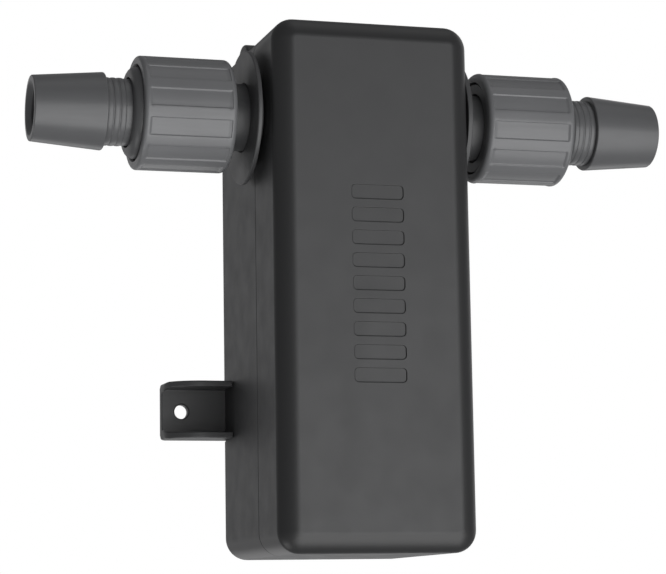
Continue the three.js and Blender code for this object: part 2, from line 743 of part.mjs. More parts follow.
place(group, 'front_cover', frontCover(), 'case');
place(group, 'rear_housing', rearHousing(), 'case');
place(group, 'case_gasket', caseGasket(), 'rubber');
const screwPlaces = atCaseScrews((x, z) => [x, z]);
screwPlaces.forEach(([x, z], number) => {
  const { head, headHeight, shank, seat } = CASE_SCREW;
  const screw = panScrew(head, headHeight, shank, seat + GAP + headHeight, FRONT_Y + 7);
  place(group, `case_screw_${number + 1}`, screw, 'steel').position.set(x, 0, z);
});

place(group, 'water_chamber', waterChamber(), 'chamber');
place(group, 'chamber_cap', chamberCap(), 'chamber');
place(group, 'chamber_seal', chamberSeal(), 'rubber');
place(group, 'flow_baffle', flowBaffle(), 'chamber');
place(group, 'quartz_sleeve', quartzSleeve(), 'glass');
place(group, 'sleeve_o_ring', sleeveOring(), 'rubber');
place(group, 'sleeve_nut', sleeveNut(), 'fitting');
place(group, 'uv_lamp', uvLamp(), 'lamp');
place(group, 'lamp_base', lampBase(), 'ceramic');
place(group, 'lamp_lead', lampLead(), 'rubber');

place(group, 'driver_board', driverBoard(), 'board');
place(group, 'driver_transformer', driverTransformer(), 'component');
place(group, 'driver_capacitor', driverCapacitor(), 'component');
place(group, 'power_terminal', powerTerminal(), 'component');
boardPosts((x, z) => [x, z]).forEach(([x, z], number) => {
  const { head, headHeight, shank, length } = BOARD_SCREW;
  const headY = GAP + headHeight - BOARD.y;
  const screw = panScrew(head, headHeight, shank, headY, -BOARD.y - length).rotateX(Math.PI);
  place(group, `board_screw_${number + 1}`, screw, 'steel').position.set(x, 0, z);
});
place(group, 'cord_gland', cordGland(), 'rubber');

// Each port's pieces are built along +X; the left port is the same set turned about Z.
for (const side of ['left', 'right']) {
  const port = new THREE.Group();
  port.position.set(0, PARTING_Y, PORT_Z);
  port.rotation.z = side === 'left' ? Math.PI : 0;
  place(port, `${side}_port_collar`, portCollar(side), 'case');
  place(port, `${side}_port_seal`, portSeal(), 'rubber');
  place(port, `${side}_hose_connector`, hoseConnector(), 'nozzle');
  place(port, `${side}_clamp_ring`, clampRing(), 'clamp');
  const nut = place(port, `${side}_lock_nut`, lockNut(), 'fitting');
  nut.rotation.x = THREE.MathUtils.degToRad(RIB_ANGLE[side]);
  group.add(port);
}

place(group, 'mounting_bracket', mountingBracket(), 'bracket');
[-1, 1].forEach((side, number) => {
  place(group, `strap_screw_${number + 1}`, strapScrew(), 'steel').position.x = side * STRAP_SCREW.x;
});

export default group;
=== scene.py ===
"""The looks of an in-line ultraviolet water clarifier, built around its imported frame.

Shapes are worked out in millimetres and become metres when a mesh is made. The frame's +Y
points into the wall, -Y to the front, and the two hose ports lie along X.
"""

import math

import bmesh
import bpy
from mathutils import Matrix, Vector


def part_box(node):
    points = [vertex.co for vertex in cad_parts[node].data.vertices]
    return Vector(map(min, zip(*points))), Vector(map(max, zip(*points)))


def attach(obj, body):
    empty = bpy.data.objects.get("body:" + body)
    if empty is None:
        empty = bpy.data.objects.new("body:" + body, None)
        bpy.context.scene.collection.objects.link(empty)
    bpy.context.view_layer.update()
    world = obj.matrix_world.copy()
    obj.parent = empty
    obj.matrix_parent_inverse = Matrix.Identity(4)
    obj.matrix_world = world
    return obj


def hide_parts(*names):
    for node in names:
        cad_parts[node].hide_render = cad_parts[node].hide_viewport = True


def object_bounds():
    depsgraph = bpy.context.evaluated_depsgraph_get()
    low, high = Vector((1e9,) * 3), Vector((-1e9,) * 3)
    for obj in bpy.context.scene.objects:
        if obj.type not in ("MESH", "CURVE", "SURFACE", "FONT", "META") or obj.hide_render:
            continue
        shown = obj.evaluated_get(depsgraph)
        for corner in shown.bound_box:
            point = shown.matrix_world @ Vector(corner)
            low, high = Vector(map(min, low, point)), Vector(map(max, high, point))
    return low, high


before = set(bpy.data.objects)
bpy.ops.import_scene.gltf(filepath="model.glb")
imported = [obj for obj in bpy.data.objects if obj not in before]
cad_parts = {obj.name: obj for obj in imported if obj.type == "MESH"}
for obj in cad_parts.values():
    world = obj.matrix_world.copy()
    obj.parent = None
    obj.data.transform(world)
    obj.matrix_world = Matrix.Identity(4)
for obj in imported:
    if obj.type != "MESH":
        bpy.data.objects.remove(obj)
CAD_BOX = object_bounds()
MM = 0.001


def box_mm(node):
    """Lowest and highest corner of a CAD node, in millimetres."""
    low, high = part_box(node)
    return low / MM, high / MM


# ---------------------------------------------------------------- sizes from the frame

COVER_LOW, COVER_HIGH = box_mm("front_cover")
HOUSING_LOW, HOUSING_HIGH = box_mm("rear_housing")
HALF_WIDTH = COVER_HIGH.x
BOTTOM, TOP = COVER_LOW.z, COVER_HIGH.z
MIDDLE = (BOTTOM + TOP) / 2
FRONT_Y = COVER_LOW.y
PARTING_Y = (COVER_HIGH.y + HOUSING_LOW.y) / 2

CONNECTOR_LOW, CONNECTOR_HIGH = box_mm("right_hose_connector")
BARREL_START, TIP = CONNECTOR_LOW.x, CONNECTOR_HIGH.x
PORT_Y = (CONNECTOR_LOW.y + CONNECTOR_HIGH.y) / 2
PORT_Z = (CONNECTOR_LOW.z + CONNECTOR_HIGH.z) / 2
BARREL_RADIUS = (CONNECTOR_HIGH.z - CONNECTOR_LOW.z) / 2

COLLAR_LOW, COLLAR_HIGH = box_mm("right_port_collar")
COLLAR_RADIUS = (COLLAR_HIGH.z - COLLAR_LOW.z) / 2
COLLAR_START = COLLAR_LOW.x
COLLAR_END = {"left": -box_mm("left_port_collar")[0].x, "right": COLLAR_HIGH.x}
NUT_LOW, NUT_HIGH = box_mm("right_lock_nut")
NUT_START, NUT_END = NUT_LOW.x, NUT_HIGH.x
CLAMP_LOW, CLAMP_HIGH = box_mm("right_clamp_ring")

BRACKET_LOW, BRACKET_HIGH = box_mm("mounting_bracket")
REACH = BRACKET_HIGH.x
STRAP_HALF_HEIGHT = BRACKET_HIGH.z
EAR_FRONT = BRACKET_LOW.y

CHAMBER_LOW, CHAMBER_HIGH = box_mm("water_chamber")
CHAMBER_Y = (CHAMBER_LOW.y + CHAMBER_HIGH.y) / 2
GLAND_LOW, GLAND_HIGH = box_mm("cord_gland")
GLAND_Y = (GLAND_LOW.y + GLAND_HIGH.y) / 2
GLAND_Z = (GLAND_LOW.z + GLAND_HIGH.z) / 2

# ---------------------------------------------------------------- sizes of the mouldings

GAP = 0.3

WALL = 2.2
CORNER_RADIUS = 5.2
# An edge's reach across the closed side, its reach along the wall, and its flatness.
FRONT_EDGE = (4.8, 3.8, 1.2)
REAR_EDGE = (2.0, 2.0, 1.0)
RIM_EDGE = 0.18
INNER_FILLET = 0.6
PARTING_HALF_GAP = 0.045
BOSS_END_GAP = 0.15

CHAMBER_HALF_WIDTH, CHAMBER_CORNER, CHAMBER_WALL = 17.5, 3.0, 2.0
PORT_NECK_RADIUS = 7.85
PORT_HOLE_RADIUS = 8.2
COLLAR_HUB_RADIUS, COLLAR_BORE = 10.0, 8.0
COLLAR_DISC = {"left": 1.0, "right": 1.2}
BORE_RADIUS = 5.2

PITCH = 2.8
THREAD_STEP = PITCH / 14
BARREL_END = 46.6
BARREL_ROOT = 10.0
BARREL_COLLAR = 0.7
SOCKET_RADIUS = PORT_NECK_RADIUS + GAP
SOCKET_END = 43.6
NECK_RADIUS = 7.7
NECK_RIB_START, NECK_RIB_PITCH, NECK_RIBS = 55.0, 1.5, 3
NECK_RIB_HEIGHT = 0.16
NOZZLE_START = 59.4
NOZZLE_BASE_RADIUS, NOZZLE_TIP_RADIUS = 9.0, 7.55
LEAD_IN = 1.2

CLAMP_BORE, CLAMP_LIP = 8.25, 8.1
CLAMP_SHOULDER, CLAMP_SHOULDER_END = 11.3, 49.8
CLAMP_NOSE, CLAMP_ROUND = 10.65, 1.9

NUT_RADIUS = 13.15
NUT_BORE = 10.95
NUT_THREAD_DEPTH, NUT_THREAD_END = 0.75, 46.8
# The pocket in the nut's bore that the clamp ring's shoulder sits in.
POCKET_RADIUS, POCKET_START, POCKET_END = 11.6, 46.9, 50.1
MOUTH_RADIUS = 11.3
NUT_RIBS = 12
RIB_HALF_ANGLE = math.radians(5.3)
RIB_WALL_ANGLE = math.radians(1.4)
FLUTE_DEPTH = 0.32
FLUTE_RUN_OUT = 0.84
FLUTE_STEP = FLUTE_RUN_OUT / 6
# How much of a flute's depth is left where it meets the edge on the case's side.
FLUTE_OPEN_END = 0.6
FIRST_RIB_ANGLE = {"left": -9.5, "right": -2.7}

SCREW_HOLE_X, SCREW_HOLE_RADIUS = 34.2, 1.7
EAR_THICKNESS = 2.3
FLANGE = 1.4
FLANGE_TIP = 1.0
FLANGE_CURVE = 9.0
EAR_CORNER = 1.1
STRAP_SCREW_X = 9.0
STRAP_SCREW = {"head": 2.3, "shank": 0.95, "head_height": 1.3, "length": 8.3}
STRAP_SCREW_BOSS, STRAP_SCREW_BORE = 3.0, 1.3
CASE_SCREW_X, CASE_SCREW_INSET, CASE_SCREW_SEAT = 12.5, 7.1, -20.0
CASE_SCREW = {"head": 2.3, "shank": 1.15, "head_height": 1.6}
CASE_SCREW_BOSS, CASE_SCREW_COUNTERBORE, CASE_SCREW_BORE = 3.4, 2.7, 1.5
BOARD_POSTS = [(-12, 16), (12, 58)]
BOARD_POST, BOARD_POST_BORE, BOARD_POST_END = 2.4, 1.1, -15.1
GLAND_BOSS_RADIUS, GLAND_BOSS_END = 5.05, -17.2
GLAND_POCKET, GLAND_BORE, GLAND_PASS = 3.4, 2.7, 1.8

# The front's plain pattern: a column of equal rounded bars, sunk into the face.
BARS = {"count": 9, "middle_x": 0.35, "half_width": 6.1, "half_height": 1.6,
        "bottom": 2.6, "top": 47.6, "depth": 0.3, "corner": 0.9}

# ---------------------------------------------------------------- outlines and skins


def smooth(share):
    """0 below 0, 1 above 1, and an even S-curve between."""
    share = min(max(share, 0.0), 1.0)
    return share * share * (3 - 2 * share)


def softened(corners, steps=5):
    """A closed outline through corners (u, v, fillet), each corner rounded to its fillet radius."""
    points = []
    for index, (u, v, fillet) in enumerate(corners):
        here = Vector((u, v))
        if fillet == 0:
            points.append(here)
            continue
        before = (Vector(corners[index - 1][:2]) - here).normalized()
        after = (Vector(corners[(index + 1) % len(corners)][:2]) - here).normalized()
        half = before.angle(after) / 2
        centre = here + (before + after).normalized() * fillet / math.sin(half)
        first = here + before * fillet / math.tan(half) - centre
        last = here + after * fillet / math.tan(half) - centre
        turn = math.atan2(first.x * last.y - first.y * last.x, first.dot(last))
        for step in range(steps + 1):
            points.append(centre + Matrix.Rotation(turn * step / steps, 2) @ first)
    return points


def skin(rings, closed):
    """Vertices and faces over rings of equal count. An open row of rings is capped at its ends."""
    count = len(rings[0])
    vertices = [Vector(point) for ring in rings for point in ring]
    faces = []
    for span in range(len(rings) if closed else len(rings) - 1):
        here = span * count
        after = (span + 1) % len(rings) * count
        for i in range(count):
            j = (i + 1) % count
            faces.append((here + i, here + j, after + j, after + i))
    if not closed:
        faces.append(tuple(range(count)))
        faces.append(tuple(range(len(vertices) - count, len(vertices))))
    return vertices, faces


def solid(name, rings, closed=False, place=Matrix()):
    """A mesh object over rings of points in millimetres, with its faces pointing out."""
    vertices, faces = skin(rings, closed)
    mesh = bpy.data.meshes.new(name)
    mesh.from_pydata([(place @ vertex) * MM for vertex in vertices], [], faces)
    work = bmesh.new()
    work.from_mesh(mesh)
    bmesh.ops.recalc_face_normals(work, faces=work.faces)
    work.to_mesh(mesh)
    work.free()
    made = bpy.data.objects.new(name, mesh)
    bpy.context.scene.collection.objects.link(made)
    return made


def even_angles(segments):
    """Angles of a full turn, in equal steps."""
    return [math.tau * step / segments for step in range(segments)]


def turned(name, outline, place=Matrix(), angles=None, reach=None, closed=True):
    """A solid of revolution about X. The outline's points are (radius, distance along X), and
    reach(radius, along, angle) gives the real radius where the surface isn't round."""
    angles = angles or even_angles(96)
    rings = []
    for radius, along in outline:
        ring = []
        for angle in angles:
            real = reach(radius, along, angle) if reach else radius
            ring.append((along, real * math.cos(angle), real * math.sin(angle)))
        rings.append(ring)
    return solid(name, rings, closed, place)


# The turn that lays the X axis along each axis.
ALONG = {"x": Matrix(), "y": Matrix.Rotation(math.pi / 2, 4, "Z"),
         "z": Matrix.Rotation(-math.pi / 2, 4, "Y")}


def rod(radius, start, end, axis="x", at=(0, 0, 0), segments=48, mouth=0.0):
    """A round bar along an axis. With a mouth it widens by that much at its end."""
    outline = [(radius, start), (radius, end)]
    if mouth:
        wide = radius + mouth
        outline = [(radius, start), (radius, end - 2 * mouth), (wide, end - mouth), (wide, end)]
    return turned("rod", outline, Matrix.Translation(at) @ ALONG[axis], even_angles(segments), closed=False)


def rounded_rectangle(half_u, half_v, corner, steps=6):
    """Points round a rectangle about the origin, with its corners rounded."""
    corners = [(half_u, -half_v, corner), (half_u, half_v, corner),
               (-half_u, half_v, corner), (-half_u, -half_v, corner)]
    return softened(corners, steps)


def block(low, high, corner=0.0):
    """A box between two corners. Its four edges along Y are rounded when corner is given."""
    half_u, half_v = (high[0] - low[0]) / 2, (high[2] - low[2]) / 2
    middle_x, middle_z = (high[0] + low[0]) / 2, (high[2] + low[2]) / 2
    outline = rounded_rectangle(half_u, half_v, corner)
    rings = [[(middle_x + u, y, middle_z + v) for u, v in outline] for y in (low[1], high[1])]
    return solid("block", rings)


def upright_prism(half_width, half_depth, corner, bottom, top, edge=0.0):
    """An upright rounded block about the chamber's middle, its upper and lower edges rounded by edge."""
    levels = [(0.0, bottom), (0.0, top)]
    if edge:
        steps = [math.pi / 2 * step / 4 for step in range(5)]
        lower = [(edge * (1 - math.sin(angle)), bottom + edge * (1 - math.cos(angle))) for angle in steps]
        levels = lower + [(inset, top + bottom - z) for inset, z in reversed(lower)]
    rings = []
    for inset, z in levels:
        outline = rounded_rectangle(half_width - inset, half_depth - inset, corner - inset)
        rings.append([(u, CHAMBER_Y + v, z) for u, v in outline])
    return solid("prism", rings)


def combine(base, tools, operation):
    """Joins the tools to the base, or cuts them from it, one after the other, and removes them."""
    for tool in tools:
        modifier = base.modifiers.new("combine", "BOOLEAN")
        modifier.operation = operation
        modifier.solver = "MANIFOLD"
        modifier.object = tool
        bpy.context.view_layer.update()
        graph = bpy.context.evaluated_depsgraph_get()
        mesh = bpy.data.meshes.new_from_object(base.evaluated_get(graph))
        if len(mesh.vertices) == 0:
            raise RuntimeError(f"{base.name} has nothing left after {operation} with {tool.name}")
        base.modifiers.clear()
        base.data = mesh
        bpy.data.objects.remove(tool)


def join(base, tools):
    combine(base, tools, "UNION")


def cut(base, tools):
    combine(base, tools, "DIFFERENCE")


def finish_piece(piece, name, body, slot, material, *nodes, sharp=38):
    """Names the piece, smooths its shading, paints it and hands it to the frame."""
    piece.name = name
    piece.data.name = name
    piece.data.materials.clear()
    piece.data.materials.append(material)
    piece.data.shade_smooth()
    piece.data.set_sharp_from_angle(angle=math.radians(sharp))
    normals = piece.modifiers.new("normals", "WEIGHTED_NORMAL")
    normals.keep_sharp = True
    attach(piece, body)
    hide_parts(*nodes)


# ---------------------------------------------------------------- materials


class Nodes:
    """A material's node tree, with short ways to add and link its nodes."""

    def __init__(self, name):
        self.material = bpy.data.materials.new(name)
        self.material.use_nodes = True
        self.tree = self.material.node_tree
        self.tree.nodes.clear()
        self.shader = self.add("ShaderNodeBsdfPrincipled")
        output = self.add("ShaderNodeOutputMaterial")
        self.link(self.shader, "BSDF", output, "Surface")
        self.place = self.add("ShaderNodeTexCoord")

    def add(self, kind, inputs=None, **settings):
        node = self.tree.nodes.new(kind)
        for key, value in settings.items():
            setattr(node, key, value)
        for key, value in (inputs or {}).items():
            node.inputs[key].default_value = value
        return node

    def link(self, source, output, target, field):
        self.tree.links.new(source.outputs[output], target.inputs[field])

    def stretched(self, stretch):
        """Object coordinates, scaled by a different amount along each axis."""
        mapping = self.add("ShaderNodeMapping", {"Scale": stretch})
        self.link(self.place, "Object", mapping, "Vector")
        return mapping

    def noise(self, size, detail=2.0, stretch=None):
        """Noise whose features are about size millimetres across."""
        noise = self.add("ShaderNodeTexNoise", {"Scale": 1 / (size * MM), "Detail": detail})
        if stretch:
            self.link(self.stretched(stretch), "Vector", noise, "Vector")
        else:
            self.link(self.place, "Object", noise, "Vector")
        return noise

    def cells(self, size):
        """Soft cells about size millimetres across."""
        cells = self.add("ShaderNodeTexVoronoi", {"Scale": 1 / (size * MM)}, feature="SMOOTH_F1")
        self.link(self.place, "Object", cells, "Vector")
        return cells

    def ranged(self, source, output, low, high, target, field):
        """Feeds a texture into a field, scaled so that its usual span covers low to high."""
        values = {"From Min": 0.3, "From Max": 0.7, "To Min": low, "To Max": high}
        scale = self.add("ShaderNodeMapRange", values)
        self.link(source, output, scale, "Value")
        self.link(scale, "Result", target, field)

    def colours(self, source, output, low, high, span=(0.3, 0.7)):
        """Base colour that runs between two colours with a texture."""
        mix = self.add("ShaderNodeMix", data_type="RGBA")
        mix.inputs[6].default_value = (*low, 1)
        mix.inputs[7].default_value = (*high, 1)
        values = {"From Min": span[0], "From Max": span[1]}
        scale = self.add("ShaderNodeMapRange", values)
        self.link(source, output, scale, "Value")
        self.tree.links.new(scale.outputs["Result"], mix.inputs[0])
        self.tree.links.new(mix.outputs[2], self.shader.inputs["Base Color"])

    def rounded_edges(self):
        """1 where the surface turns between the object's main directions, 0 on its flats."""
        size = self.add("ShaderNodeVectorMath", operation="ABSOLUTE")
        self.link(self.place, "Normal", size, 0)
        parts = self.add("ShaderNodeSeparateXYZ")
        self.link(size, "Vector", parts, "Vector")
        across = self.add("ShaderNodeMath", operation="MAXIMUM")
        self.link(parts, "X", across, 0)
        self.link(parts, "Y", across, 1)
        largest = self.add("ShaderNodeMath", operation="MAXIMUM")
        self.link(across, "Value", largest, 0)
        self.link(parts, "Z", largest, 1)
        edge = self.add("ShaderNodeMapRange", {"From Min": 0.999, "From Max": 0.965})
        self.link(largest, "Value", edge, "Value")
        return edge

    def on_edges(self, field, value):
        """Runs what feeds a field to another value along the rounded edges."""
        kind, a, b, result = ("RGBA", 6, 7, 2) if field == "Base Color" else ("FLOAT", 2, 3, 0)
        mix = self.add("ShaderNodeMix", data_type=kind)
        source = self.shader.inputs[field].links[0].from_socket
        self.tree.links.new(source, mix.inputs[a])
        mix.inputs[b].default_value = value
        self.tree.links.new(self.rounded_edges().outputs["Result"], mix.inputs[0])
        self.tree.links.new(mix.outputs[result], self.shader.inputs[field])

    def relief(self, source, output, depth, strength=1.0, under=None):
        """Bump from a texture. Under is a coarser bump that this one lies on."""
        bump = self.add("ShaderNodeBump", {"Distance": depth * MM, "Strength": strength})
        self.link(source, output, bump, "Height")
        if under:
            self.link(under, "Normal", bump, "Normal")
        return bump

    def shape(self, bump):
        self.link(bump, "Normal", self.shader, "Normal")

    def set(self, **values):
        for key, value in values.items():
            self.shader.inputs[key.replace("_", " ")].default_value = value


def grey(level, tint=(0.985, 1.0, 1.03)):
    """A slightly cool grey of the given linear level."""
    return tuple(level * share for share in tint)


def scaled(colour, share):
    return tuple(channel * share for channel in colour)


def moulded(name, colour, roughness, grain, depth, edge=None):
    """Injection-moulded plastic: broad flow tone and a fine spark-eroded grain. Edge, where it is
    given, is the (colour, roughness) of the rounded edges: the darker colour is painted shade on
    the radii, and the lower roughness is polish from handling."""
    nodes = Nodes(name)
    broad = nodes.noise(28, detail=3.0)
    nodes.colours(broad, "Fac", scaled(colour, 0.96), scaled(colour, 1.04))
    worn = nodes.noise(6, detail=4.0)
    nodes.ranged(worn, "Fac", roughness - 0.04, roughness + 0.04, nodes.shader, "Roughness")
    if edge:
        # Painted shade: the rounded edges get a darker base colour than the flats.
        nodes.on_edges("Base Color", (*edge[0], 1))
        nodes.on_edges("Roughness", edge[1])
    coarse = nodes.relief(nodes.cells(grain), "Distance", depth, 0.8)
    fine = nodes.relief(nodes.noise(grain * 0.4), "Fac", depth * 0.5, 0.6, under=coarse)
    nodes.shape(fine)
    return nodes.material


def drawn_plastic(name, colour, roughness, stretch):
    """Smooth satin plastic with faint lines along one axis, as a polished mould leaves it."""
    nodes = Nodes(name)
    broad = nodes.noise(18, detail=3.0)
    nodes.colours(broad, "Fac", scaled(colour, 0.95), scaled(colour, 1.05))
    lines = nodes.noise(0.6, detail=3.0, stretch=stretch)
    nodes.ranged(lines, "Fac", roughness - 0.04, roughness + 0.05, nodes.shader, "Roughness")
    wave = nodes.relief(nodes.noise(7), "Fac", 0.03, 0.4)
    drawn = nodes.relief(lines, "Fac", 0.004, 0.5, under=wave)
    pores = nodes.relief(nodes.noise(0.18), "Fac", 0.004, 0.5, under=drawn)
    nodes.shape(pores)
    return nodes.material


def rubber(name, level):
    """Moulded elastomer: dull, with a fine matt skin."""
    nodes = Nodes(name)
    nodes.colours(nodes.noise(5, detail=4.0), "Fac", grey(level * 0.8), grey(level * 1.3))
    nodes.ranged(nodes.noise(1.5, detail=4.0), "Fac", 0.62, 0.8, nodes.shader, "Roughness")
    nodes.shape(nodes.relief(nodes.noise(0.12), "Fac", 0.01, 0.6))
    nodes.set(Specular_IOR_Level=0.4)
    return nodes.material


def brushed_steel(name):
    """Plain stainless steel with faint lines from turning."""
    nodes = Nodes(name)
    lines = nodes.noise(0.25, detail=5.0, stretch=(1, 0.06, 1))
    nodes.colours(lines, "Fac", (0.55, 0.56, 0.58), (0.68, 0.69, 0.71))
    nodes.ranged(lines, "Fac", 0.24, 0.4, nodes.shader, "Roughness")
    nodes.shape(nodes.relief(lines, "Fac", 0.004, 0.4))
    nodes.set(Metallic=1.0)
    return nodes.material


def clear_glass(name, low, high, roughness, ior):
    """Drawn glass tube: clear, with faint draw lines along it."""
    nodes = Nodes(name)
    lines = nodes.noise(1.2, detail=2.0, stretch=(1, 1, 0.05))
    nodes.colours(lines, "Fac", low, high)
    nodes.shape(nodes.relief(lines, "Fac", 0.01, 0.3))
    nodes.set(Transmission_Weight=1.0, Roughness=roughness, IOR=ior)
    return nodes.material


def glazed_ceramic(name):
    """Off-white ceramic with a thin glaze."""
    nodes = Nodes(name)
    specks = nodes.noise(0.7, detail=6.0)
    nodes.colours(specks, "Fac", (0.70, 0.67, 0.60), (0.80, 0.78, 0.72))
    nodes.ranged(nodes.noise(3), "Fac", 0.25, 0.4, nodes.shader, "Roughness")
    nodes.shape(nodes.relief(nodes.noise(2.5), "Fac", 0.03, 0.4))
    return nodes.material


def circuit_board(name):
    """Green solder mask over copper tracks that show as slightly raised, lighter bands."""
    nodes = Nodes(name)
    tracks = nodes.add("ShaderNodeTexBrick", {"Scale": 1 / (9 * MM), "Mortar Size": 0.06})
    turned_place = nodes.add("ShaderNodeMapping", {"Rotation": (math.pi / 2, 0, 0)})
    nodes.link(nodes.place, "Object", turned_place, "Vector")
    nodes.link(turned_place, "Vector", tracks, "Vector")
    nodes.colours(tracks, "Fac", (0.015, 0.10, 0.045), (0.05, 0.20, 0.09), span=(0, 1))
    nodes.ranged(nodes.noise(2), "Fac", 0.3, 0.45, nodes.shader, "Roughness")
    nodes.shape(nodes.relief(tracks, "Fac", 0.04, 0.8))
    return nodes.material


def moulded_component(name, low, high):
    """Potted or shrouded electrical component, with a satin skin."""
    nodes = Nodes(name)
    nodes.colours(nodes.noise(3, detail=4.0), "Fac", low, high)
    nodes.ranged(nodes.noise(1.2), "Fac", 0.35, 0.55, nodes.shader, "Roughness")
    nodes.shape(nodes.relief(nodes.noise(0.3), "Fac", 0.01, 0.5))
    return nodes.material


MATERIALS = {
    # The case's rounded edges take grey(0.016), a painted shade darker than the grey(0.034) flats.
    "case": moulded("case_plastic", grey(0.034), 0.5, 0.34, 0.006, edge=(grey(0.016), 0.42)),
    "collar": moulded("collar_plastic", grey(0.046), 0.46, 0.34, 0.006),
    "fitting": drawn_plastic("fitting_plastic", grey(0.132), 0.36, (0.05, 1, 1)),
    "nozzle": drawn_plastic("nozzle_plastic", grey(0.094), 0.34, (0.05, 1, 1)),
    "clamp": drawn_plastic("clamp_plastic", grey(0.070), 0.40, (0.2, 1, 1)),
    "bracket": drawn_plastic("bracket_plastic", grey(0.042), 0.46, (0.1, 1, 1)),
    "rubber": rubber("black_rubber", 0.014),
    "chamber": drawn_plastic("chamber_plastic", grey(0.052), 0.42, (1, 1, 0.1)),
    "quartz": clear_glass("quartz_glass", (0.90, 0.94, 0.96), (0.97, 0.98, 1.0), 0.02, 1.46),
    "lamp": clear_glass("lamp_glass", (0.80, 0.78, 0.95), (0.92, 0.90, 1.0), 0.05, 1.5),
    "ceramic": glazed_ceramic("lamp_ceramic"),
    "board": circuit_board("board_mask"),
    "component": moulded_component("component_case", (0.014, 0.014, 0.016), (0.03, 0.03, 0.033)),
    "steel": brushed_steel("screw_steel"),
}

# ---------------------------------------------------------------- case


def case_ring(inset, y):
    """The case's outline in the plane at y, drawn in by inset."""
    radius = max(CORNER_RADIUS - inset, 0.25)
    outline = rounded_rectangle(HALF_WIDTH - inset, (TOP - BOTTOM) / 2 - inset, radius, 10)
    return [(u, y, MIDDLE + v) for u, v in outline]


def quarter(across, along, steps, flatness=1.0):
    """(inset, rise) round a rounded edge, from flat on the wall to flat on the closed side.
    Flatness is 1 for a quarter ellipse and 2 for a flat chamfer."""
    points = []
    for step in range(steps + 1):
        angle = math.pi / 2 * step / steps
        cosine, sine = max(math.cos(angle), 0.0), math.sin(angle)
        points.append((across * (1 - cosine ** flatness), along * (1 - sine ** flatness)))
    return points


def case_shell(name, closed_y, side, edge):
    """A shell that is open at the parting plane. Side is -1 for the one that reaches forward,
    and edge is its outer edge's reach across the closed side, reach along the wall and flatness."""
    across, along, flatness = edge
    outline = quarter(across, along, 16, flatness)
    rings = [case_ring(inset, closed_y - side * rise) for inset, rise in reversed(outline)]
    rim = PARTING_Y + side * PARTING_HALF_GAP
    rings += [case_ring(inset, rim + side * rise) for inset, rise in quarter(RIM_EDGE, RIM_EDGE, 3)]
    fillet = max(across - WALL, INNER_FILLET)
    rings.append(case_ring(WALL, rim))
    for inset, rise in quarter(fillet, fillet, 5):
        rings.append(case_ring(WALL + inset, closed_y - side * (WALL + rise)))
    return solid(name, rings)


def at_case_screws(make):
    """Calls make(x, z) for each of the four case screws."""
    return [make(x, z) for z in (TOP - CASE_SCREW_INSET, BOTTOM + CASE_SCREW_INSET)
            for x in (-CASE_SCREW_X, CASE_SCREW_X)]


def port_hole():
    return rod(PORT_HOLE_RADIUS, -30, 30, "x", (0, PORT_Y, PORT_Z), 96)


def bar_recess(middle_z):
    """The cutter for one sunk bar: straight walls with a softened rim and floor."""
    profile = [(-0.14, -0.1), (-0.14, 0.0), (-0.04, 0.07), (0.0, 0.16),
               (0.0, BARS["depth"] - 0.12), (0.04, BARS["depth"] - 0.04), (0.14, BARS["depth"])]
    rings = []
    for inset, depth in profile:
        outline = rounded_rectangle(
            BARS["half_width"] - inset, BARS["half_height"] - inset, BARS["corner"] - inset)
        rings.append([(BARS["middle_x"] + u, FRONT_Y + depth, middle_z + v) for u, v in outline])
    return solid("bar_recess", rings)


def front_cover():
    """The deep front shell with its screw bosses and the sunk bars."""
    shell = case_shell("front_cover_moulding", FRONT_Y, -1, FRONT_EDGE)
    boss_end = PARTING_Y - BOSS_END_GAP
    bosses = at_case_screws(lambda x, z: rod(CASE_SCREW_BOSS, FRONT_Y + 1, boss_end, "y", (x, 0, z)))
    pilots = at_case_screws(
        lambda x, z: rod(CASE_SCREW_BORE, FRONT_Y + 5, PARTING_Y + 1, "y", (x, 0, z)))
    low = BARS["bottom"] + BARS["half_height"]
    high = BARS["top"] - BARS["half_height"]
    gap = (high - low) / (BARS["count"] - 1)
    recesses = [bar_recess(low + gap * number) for number in range(BARS["count"])]
    join(shell, bosses)
    cut(shell, [port_hole(), *pilots, *recesses])
    finish_piece(shell, "front_cover_moulding", "case", "case", MATERIALS["case"], "front_cover")


